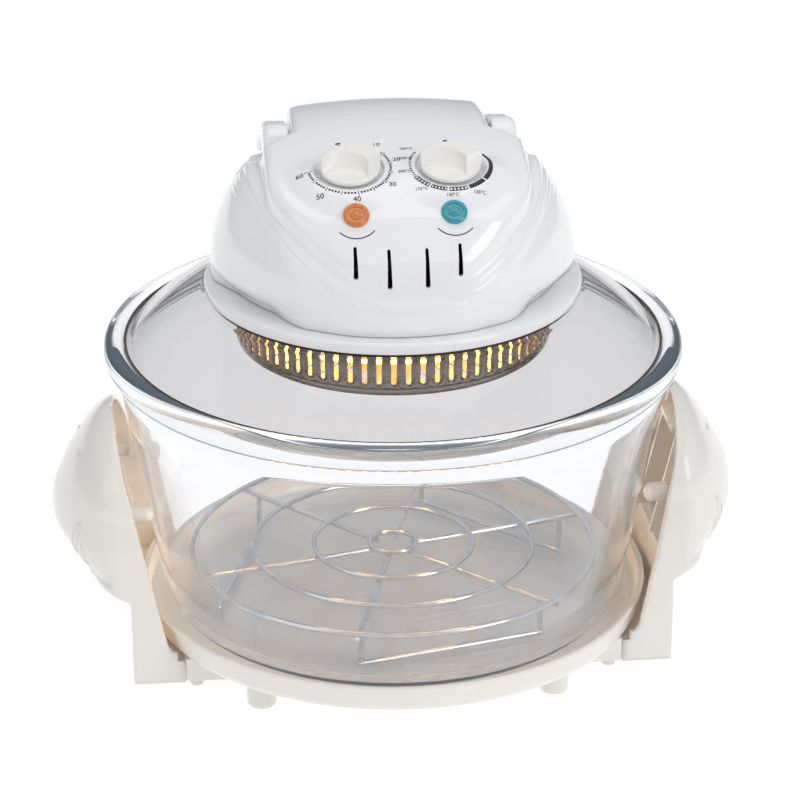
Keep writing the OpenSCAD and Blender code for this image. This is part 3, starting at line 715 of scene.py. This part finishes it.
def vent_cutters():
    """Four tall slots in the hood's front, wider at their feet."""
    parts = []
    for x, z0, z1 in ((10.5, 257, 277.5), (29, 262, 279)):
        ends = [(0.9, z1 - 0.9, 0, math.pi), (1.35, z0 + 1.35, math.pi, 2 * math.pi)]
        outline = [(x + r * math.cos(a), z + r * math.sin(a)) for r, z, a0, a1 in ends
                   for a in np.linspace(a0, a1, 9)]
        cut = loft([[(px, y, pz) for px, pz in outline] for y in (-112, -74)])
        parts += [cut, mirrored(cut)]
    return joined(*parts)


def head_cover():
    shell = make("head_cover_looks", *cover_shell(), "head", "head_plastic",
                 stands_for=["head_cover"], sharp=0)
    face_out(shell, (0, 0, DOME_Z))
    modify(shell, "SOLIDIFY", thickness=2.4 * MM, offset=-1, use_rim=True)
    cutter = make("vent_cutter", *vent_cutters(), "head", "head_plastic")
    modify(shell, "BOOLEAN", object=cutter, operation="DIFFERENCE", solver="EXACT")
    bpy.context.view_layer.update()
    graph = bpy.context.evaluated_depsgraph_get()
    cut = bpy.data.meshes.new_from_object(shell.evaluated_get(graph))
    shell.modifiers.clear()
    shell.data = cut
    cut.shade_smooth()
    cut.set_sharp_from_angle(angle=math.radians(38))
    bpy.data.objects.remove(cutter)


def head_ring():
    """The white ring under the cover, and the black gasket between it and the lid."""
    low, high, lip = RING_LOW, 230.2, 0.5
    rubber = [(95.3, LAND_Z - 4), (96.8, LAND_Z - 4), (96.8, LAND_Z), (RING_R - 1.5, LAND_Z),
              (RING_R - 1.5, low), (95.3, low)]
    make("lid_gasket_looks", *lathe(rubber, 224), "head", "gasket_rubber",
         stands_for=["lid_gasket"])
    section = rounded([(80, low, 0), (RING_R - 1.4, low, 0), (RING_R - 1.4, low - lip, 0.2),
                       (RING_R, low - lip, 0.5), (RING_R, high, 2.6), (84, high, 0.5),
                       (80, high, 0.5)], 6)
    make("head_ring_looks", *lathe(section, 224), "head", "head_plastic", stands_for=["head_ring"])


# ---- Printing on the panel ----
def on_panel(points, place, tilt, side, lift=0.16):
    """Flat (across, up) points laid on the cover's surface round a dial or lens."""
    centre, across, up, out = panel_frame(place, tilt, side)
    flat = centre + points[:, :1] * across + points[:, 1:2] * up
    t = surface_along(flat, np.tile(out, (len(flat), 1)), (-9, 9), 0.75)
    return flat + out * (t + lift)[:, None]


def polar(r, degrees):
    """Clockwise from the top."""
    a = np.radians(degrees)
    return np.stack([r * np.sin(a), r * np.cos(a)], -1)


def ring_piece(r0, r1, a0, a1):
    """A flat band between two radii and two angles; radii may be pairs that change along it."""
    n = max(2, int(abs(a1 - a0) / 3) + 1)
    t = np.linspace(0, 1, n)
    angles = a0 + (a1 - a0) * t
    inner, outer = (np.interp(t, (0, 1), np.broadcast_to(r, 2)) for r in (r0, r1))
    points = np.vstack([polar(inner, angles), polar(outer, angles)])
    return points, [(i, i + 1, n + i + 1, n + i) for i in range(n - 1)]


def digits(text, size, place):
    """A number as a flat mesh, centred on a place."""
    curve = bpy.data.curves.new("number", "FONT")
    curve.body, curve.size = text, size
    curve.align_x, curve.align_y = "CENTER", "CENTER"
    curve.resolution_u = 3
    obj = bpy.data.objects.new("number", curve)
    bpy.context.collection.objects.link(obj)
    bpy.context.view_layer.update()
    mesh = bpy.data.meshes.new_from_object(obj.evaluated_get(bpy.context.evaluated_depsgraph_get()))
    points = np.array([v.co[:2] for v in mesh.vertices]) + place
    faces = [tuple(p.vertices) for p in mesh.polygons]
    bpy.data.objects.remove(obj)
    bpy.data.meshes.remove(mesh)
    return points, faces


def timer_marks():
    """Sixty ticks with numbers at each tenth, and a bar at the start."""
    pieces, scale, first = [], 271 / 60, -9
    for k in range(1, 60):
        tick = k % 5 == 0
        wide = 0.5 if tick else 1.3
        pieces.append(ring_piece(21.9 if tick else 22.6, 25.0 if tick else 23.9,
                                 first + k * scale - wide, first + k * scale + wide))
    for k in (0, 60):
        pieces.append(ring_piece(21.4, 25.6, first + k * scale - 0.5, first + k * scale + 0.5))
    for number, angle, r in ((10, 37, 28.4), (20, 77, 27.8), (30, 125, 28.0), (40, 175, 27.4),
                             (50, 218, 29.0), (60, 260, 28.6)):
        pieces.append(digits(str(number), 4.4, polar(r, angle)))
    pieces.append(ring_piece(26.4, 27.8, -12, -6))
    return pieces


def thermostat_marks():
    """A widening arc, a dot at rest, ladders and dots up the scale, and its temperatures."""
    pieces = [ring_piece((22.3, 21.6), (22.7, 24.4), 6, 128)]
    dot = np.array([polar(1.3, a) + [0, 25.5] for a in range(0, 360, 30)])
    pieces.append((dot, [tuple(range(12))]))
    for a0, a1 in ((131, 158), (161, 187), (190, 213), (216, 243)):
        ladder = a0 > 140
        pieces.append(ring_piece(21.4, 21.9 if ladder else 24.2, a0, a1))
        if ladder:
            pieces.append(ring_piece(23.7, 24.2, a0, a1))
            cells = int((a1 - a0) / 4.6)
            for k in range(cells + 1):
                a = a0 + (a1 - a0) * k / cells
                pieces.append(ring_piece(21.8, 23.8, max(a0, a - 1.1), min(a1, a + 1.1)))
    for a in np.arange(247, 306, 5.2):
        pieces.append(ring_piece(22.1, 23.3, a - 1.0, a + 1.0))
    for text, angle, r in (("125°C", 150, 28.0), ("150°C", 183, 26.6), ("175°C", 221, 27.6),
                           ("200°C", 259, 26.6), ("225°C", 286, 25.6), ("250°C", 306, 28.8)):
        pieces.append(digits(text, 2.8, polar(r, angle)))
    return pieces


def print_on(name, marks, place, tilt, side):
    points, faces = joined(*marks)
    laid = on_panel(np.array(points), place, tilt, side)
    obj = make(name, laid, faces, "head", material=PRINT, sharp=0)
    modify(obj, "SOLIDIFY", thickness=0.06 * MM, offset=0)


def prints():
    print_on("timer_scale", timer_marks(), DIAL, DIAL_TILT, -1)
    print_on("thermostat_scale", thermostat_marks(), DIAL, DIAL_TILT, 1)
    for side, name in ((-1, "power_arc"), (1, "heat_arc")):
        print_on(name, [ring_piece(13.2, 13.75, 134, 226)], LENS, LENS_TILT, side)


# ---- Controls ----
def placed(part, place, tilt, side, turn=0.0):
    """A part made round the Z axis, moved onto a dial or lens."""
    centre, across, up, out = panel_frame(place, tilt, side)
    c, s = math.cos(turn), math.sin(turn)
    verts, faces = part
    return [centre + across * (c * v[0] - s * v[1]) + up * (s * v[0] + c * v[1]) + out * v[2]
            for v in verts], faces


def knob_height(x, y):
    """Height of the knob's face: a low disc with a scooped wedge across it."""
    corner_x, disc, wedge = 8.7, 2.2, 8.0
    scooped = x < corner_x
    crest = np.where(scooped, 1.8 - 0.045 * (x + 4) ** 2, -5.46 + (x - corner_x) * 0.72)
    foot = np.where(scooped, -7.6 - (x + 17.4) * 0.15, -11.5 + (x - corner_x) * 0.84)
    back = np.interp(x, *bezier([(-17.5, -4.6), (-9, 8.5), (5, 13), (17.5, 2)], 30).T)
    slope = np.clip((y - foot) / np.maximum(crest - foot, 0.5), 0, 1)
    slope = np.where(scooped, slope ** 2.3, slope)
    return disc + wedge * np.minimum(slope, 1 - step(back - 0.4, back + 1.5, y))


def knob():
    """Loops from the underside round the rim and in to the middle of the face."""
    rows, cols = ((80, 240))
    turn = np.linspace(0, 2 * math.pi, cols, endpoint=False)
    loops = [[(KNOB_R * math.cos(a) * k, KNOB_R * math.sin(a) * k, -z) for a in turn]
             for k, z in ((0.5, 0.9), (0.96, 0.9), (1.0, 0.2))]
    for r in np.concatenate([[KNOB_R], KNOB_R - 0.7 + 0.7 * np.cos(np.linspace(0, 1.5, 6)),
                             np.linspace(KNOB_R - 0.85, 0.03, rows)]):
        x, y = r * np.cos(turn), r * np.sin(turn)
        drop = 0.7 - math.sqrt(max(0.49 - max(r - KNOB_R + 0.7, 0) ** 2, 0))
        loops.append(np.stack([x, y, knob_height(x * 0.97, y * 0.97) - drop], 1))
    return loft(loops)


def knobs():
    rod = lathe([(0, -19.5), (2.7, -19.5), (3, -19.2), (3, 1.7), (2.7, 2), (0, 2)], 32)
    for side, body, turn in ((-1, "timer", 4), (1, "thermostat", -8)):
        part = placed(knob(), DIAL, DIAL_TILT, side, math.radians(turn))
        make(body + "_knob_looks", *part, body, "knob_plastic", stands_for=[body + "_knob"],
             sharp=0)
        make(body + "_shaft_looks", *placed(rod, DIAL, DIAL_TILT, side), body,
             SLOT_OF[body + "_shaft"], stands_for=[body + "_shaft"])


def lens_face():
    """A lens with a raised rim and rings moulded in its face."""
    r = corner("heat_lens", True)[0] - LENS[0]
    rings = [(r * 0.62, 1.9), (r * 0.60, 1.5), (r * 0.5, 1.5), (r * 0.48, 1.8), (r * 0.36, 1.85),
             (r * 0.34, 1.5), (r * 0.24, 1.5), (r * 0.22, 1.85), (0, 1.95)]
    section = np.vstack([[(0, -3)], rounded([(r, -3, 0), (r, 1.5, 0.8), (r * 0.8, 2.3, 0.8),
                                             (r * 0.68, 1.9, 0)], 5, closed=False), rings])
    return lathe(section, 72)


def lenses():
    for side, node, slot in ((-1, "power_lens", "amber_lens"), (1, "heat_lens", "teal_lens")):
        make(node + "_looks", *placed(lens_face(), LENS, LENS_TILT, side), "head", slot,
             stands_for=[node], sharp=45)


# ---- Carry handle ----
def arm_outline():
    """Side outline of an ear and its arm, in Y and Z, with its outward normals."""
    y0, z0 = PIVOT[1], PIVOT[2]
    ear = [(y0 + EAR_R * math.cos(a), z0 + EAR_R * math.sin(a))
           for a in np.radians(np.linspace(-14, -314, 44))]
    top = bezier([(y0 + 9.9, 310.6), (46, 311.2), (64, 306.2), (GRIP_Y + 4.6, GRIP_Z + 5.3)],
                 26)[1:-1]
    end = [(GRIP_Y + GRIP_R * math.cos(a), GRIP_Z + GRIP_R * math.sin(a))
           for a in np.radians(np.linspace(45, -135, 16))]
    low = bezier([(GRIP_Y - 5, GRIP_Z - 5), (78, 290), (58, 298), (y0 + 14, 297.7)], 26)[1:-1]
    line = np.vstack([ear, top, end, low])
    ahead = np.roll(line, -1, 0) - np.roll(line, 1, 0)
    out = np.stack([-ahead[:, 1], ahead[:, 0]], 1)
    out /= np.linalg.norm(out, axis=1)[:, None]
    if (out[10] @ (line[10] - [y0, z0])) < 0:
        out = -out
    return line, out


def arm():
    """An ear and its arm, softly rounded on the outside and less so on the inside."""
    line, out = arm_outline()
    loops = []
    for x_edge, sign, r in ((EAR_IN, 1, 1.2), (EAR_OUT, -1, 4.2)):
        stages = []
        for a in np.linspace(0, math.pi / 2, 6):
            inset, shift = r * (1 - math.sin(a)), r * (1 - math.cos(a))
            ring = line - out * inset
            stages.append([(x_edge + sign * shift, y, z) for y, z in ring])
        loops += stages if sign > 0 else stages[::-1]
    return loft(loops)


def carry_handle():
    grip = tube([(x, GRIP_Y, GRIP_Z) for x in np.linspace(-EAR_OUT + 5, EAR_OUT - 5, 30)],
                GRIP_R - 0.1, 40)
    verts, faces = joined(arm(), mirrored(arm()), grip)
    make("carry_handle_looks", verts, faces, "handle", "head_plastic",
         stands_for=["carry_handle"], sharp=45)


# ---- Lamp and its guard ----
def slot_cell(r, z0, z1, low, high, a0, a1):
    """One piece of the guard's wall between two angles, with a tall rounded slot in it."""
    half_w, half_h, mid = (a1 - a0) * r / 2, (high - low) / 2, (z0 + z1) / 2
    slot_w, slot_h, n = 1.5, (z1 - z0) / 2, 40
    hole, edge = [], []
    for a in np.linspace(0, 2 * math.pi, n, endpoint=False):
        c, s = math.cos(a), math.sin(a)
        end = (slot_h - slot_w) * np.sign(s) * (abs(s) > 1e-9)
        hole.append((slot_w * c, mid + end + slot_w * s))
        k = 1 / max(abs(c), abs(s))
        edge.append((half_w * c * k, (low + high) / 2 + half_h * s * k))
    middle = (a0 + a1) / 2
    points = [(r * math.cos(middle + u / r), r * math.sin(middle + u / r), v)
              for u, v in hole + edge]
    return points, [(i, (i + 1) % n, n + (i + 1) % n, n + i) for i in range(n)]


def guard_wall(low, high):
    """The slotted wall, one cell for each slot, joined into one skin and thickened inward."""
    span = 2 * math.pi / GUARD_SLOTS
    cells = [slot_cell(GUARD_R, 197.5, high - 2.0, low + 5, high - 1, k * span, (k + 1) * span)
             for k in range(GUARD_SLOTS)]
    wall = make("lamp_guard_wall", *joined(*cells), "head", "bright_steel",
                stands_for=["lamp_guard"], sharp=0)
    bm = bmesh.new()
    bm.from_mesh(wall.data)
    bmesh.ops.remove_doubles(bm, verts=bm.verts, dist=0.03 * MM)
    bmesh.ops.recalc_face_normals(bm, faces=bm.faces)
    bm.to_mesh(wall.data)
    bm.free()
    face_out(wall)
    wall.data.shade_smooth()
    modify(wall, "SOLIDIFY", thickness=0.9 * MM, offset=-1, use_rim=True)


def guard_bars(low):
    """The flat bars between the slots in the guard's floor."""
    bars = []
    for a in np.radians(np.arange(5, 360, 10)):
        c, s = math.cos(a), math.sin(a)
        bars.append(loft([[(u * c - v * s, u * s + v * c, low + h) for u, v in
                           ((44, -2.3), (84, -5.6), (84, 5.6), (44, 2.3))] for h in (0.05, 0.85)]))
    make("lamp_guard_bars", *joined(*bars), "head", "bright_steel", GUARD_PAN)


def guard():
    low, high = corner("lamp_guard", False)[2] - GUARD_DROP, corner("lamp_guard", True)[2]
    r, sheet, bend_r = GUARD_R, 0.9, 5.0
    guard_wall(low, high)
    flange = rounded([(r - sheet, high - 1, 0), (95, high - 1, 0.3), (95, high, 0.3),
                      (r - sheet, high, 0)], 3)
    make("lamp_guard_flange", *lathe(flange, 224), "head", "bright_steel")
    outer, inner = ([(r - bend_r + k * math.cos(a), low + bend_r - k * math.sin(a))
                     for a in np.linspace(0, math.pi / 2, 8)] for k in (bend_r, bend_r - sheet))
    make("lamp_guard_pan", *lathe(outer + [(83, low), (83, low + sheet)] + inner[::-1], 224),
         "head", "bright_steel")
    guard_bars(low)
    hub = [(0, low), (45, low), (45, low + sheet), (0, low + sheet)]
    make("lamp_guard_hub", *lathe(hub, 96), "head", "bright_steel", GUARD_PAN)


def lamp():
    path = [(LAMP_R * math.sin(a), LAMP_R * math.cos(a), LAMP_Z)
            for a in np.radians(np.linspace(14, 346, 160))]
    make("quartz_tube", *tube(path, 5, 24), "head", "quartz", stands_for=["halogen_lamp"])
    make("lamp_filament", *tube(path, 4.4, 12), "head", "quartz", GLOW)


# ---- What stays from the CAD ----
def carried_nodes():
    """A finish from this script on every node of the part."""
    for name, obj in frame["nodes"].items():
        obj.data.materials.clear()
        obj.data.materials.append(MATERIALS[SLOT_OF[name]])


# ---- Studio ----
def area(name, place, aim, size, power, colour=(1, 1, 1), seen=True):
    light = bpy.data.lights.new(name, "AREA")
    light.shape, light.size, light.size_y = "RECTANGLE", size[0], size[1]
    light.energy, light.color = power, colour
    obj = bpy.data.objects.new(name, light)
    bpy.context.collection.objects.link(obj)
    obj.visible_camera = obj.visible_glossy = obj.visible_transmission = seen
    obj.location = place
    obj.rotation_euler = (Vector(aim) - Vector(place)).to_track_quat("-Z", "Y").to_euler()


def sky():
    """Pale light all round, dimmer near the horizon."""
    world = bpy.data.worlds.new("studio")
    bpy.context.scene.world = world
    world.use_nodes = True
    tree = world.node_tree
    tree.nodes.clear()
    coords = tree.nodes.new("ShaderNodeTexCoord")
    split = tree.nodes.new("ShaderNodeSeparateXYZ")
    ramp = tree.nodes.new("ShaderNodeValToRGB")
    back = tree.nodes.new("ShaderNodeBackground")
    out = tree.nodes.new("ShaderNodeOutputWorld")
    stops = ramp.color_ramp.elements
    stops[0].position, stops[0].color = 0.0, (0.31, 0.32, 0.34, 1)
    stops[1].position, stops[1].color = 0.6, (0.95, 0.965, 0.99, 1)
    stops.new(0.18).color = (0.42, 0.44, 0.47, 1)
    tree.links.new(coords.outputs["Generated"], split.inputs[0])
    tree.links.new(split.outputs["Z"], ramp.inputs["Fac"])
    tree.links.new(ramp.outputs["Color"], back.inputs["Color"])
    back.inputs["Strength"].default_value = 0.72
    tree.links.new(back.outputs["Background"], out.inputs["Surface"])


def lights():
    """Three soft boxes, and the oven's own lamp as a warm light that only brightens things."""
    area("soft_left", (-1.5, -0.9, 1.1), (0, 0, 0.15), (1.2, 1.4), 3.9, (1.0, 0.965, 0.92))
    area("soft_right", (1.3, -1.3, 1.0), (0, 0, 0.15), (0.8, 1.2), 9.5)
    area("soft_top", (0.1, 0.2, 1.9), (0, 0, 0.2), (1.4, 1.0), 5)
    area("lamp_warmth", (-0.03, 0, 0.184), (0, 0, 0), (0.15, 0.15), 1.05, (1.0, 0.64, 0.36),
         seen=False)


def ground():
    far = 9
    mesh = bpy.data.meshes.new("floor")
    mesh.from_pydata([(-far, -far, 0), (far, -far, 0), (far, far, 0), (-far, far, 0)], [],
                     [(0, 1, 2, 3)])
    floor = bpy.data.objects.new("floor", mesh)
    bpy.context.collection.objects.link(floor)
    material, tree, bsdf = shader("floor_paper")
    bsdf.inputs["Roughness"].default_value = 0.7
    tree.links.new(colours(tree, noise(tree, 3, 3), (0.35, 0.35, 0.35), (0.37, 0.37, 0.37)),
                   bsdf.inputs["Base Color"])
    bsdf.inputs["Emission Color"].default_value = (1, 1, 1, 1)
    bsdf.inputs["Emission Strength"].default_value = 0.78
    mesh.materials.append(material)


def camera():
    away, high, turn, aside = 1.70, math.radians(24.1), math.radians(-5.6), 0.00415
    look = Vector((math.cos(turn) * aside, math.sin(turn) * aside, 0.148))
    back = Vector((math.sin(turn) * math.cos(high), -math.cos(turn) * math.cos(high),
                   math.sin(high)))
    data = bpy.data.cameras.new("camera")
    data.lens, data.sensor_width = 128.5, 36
    cam = bpy.data.objects.new("camera", data)
    bpy.context.collection.objects.link(cam)
    cam.location = look + back * away
    cam.rotation_mode = "QUATERNION"
    cam.rotation_quaternion = (-back).to_track_quat("-Z", "Y")
    bpy.context.scene.camera = cam
    bpy.context.scene.view_settings.view_transform = "Standard"


camera()
sky()
lights()
ground()
carried_nodes()
base()
feet()
wings()
bowl()
lid()
head_cover()
head_ring()
prints()
knobs()
lenses()
carry_handle()
guard()
lamp()
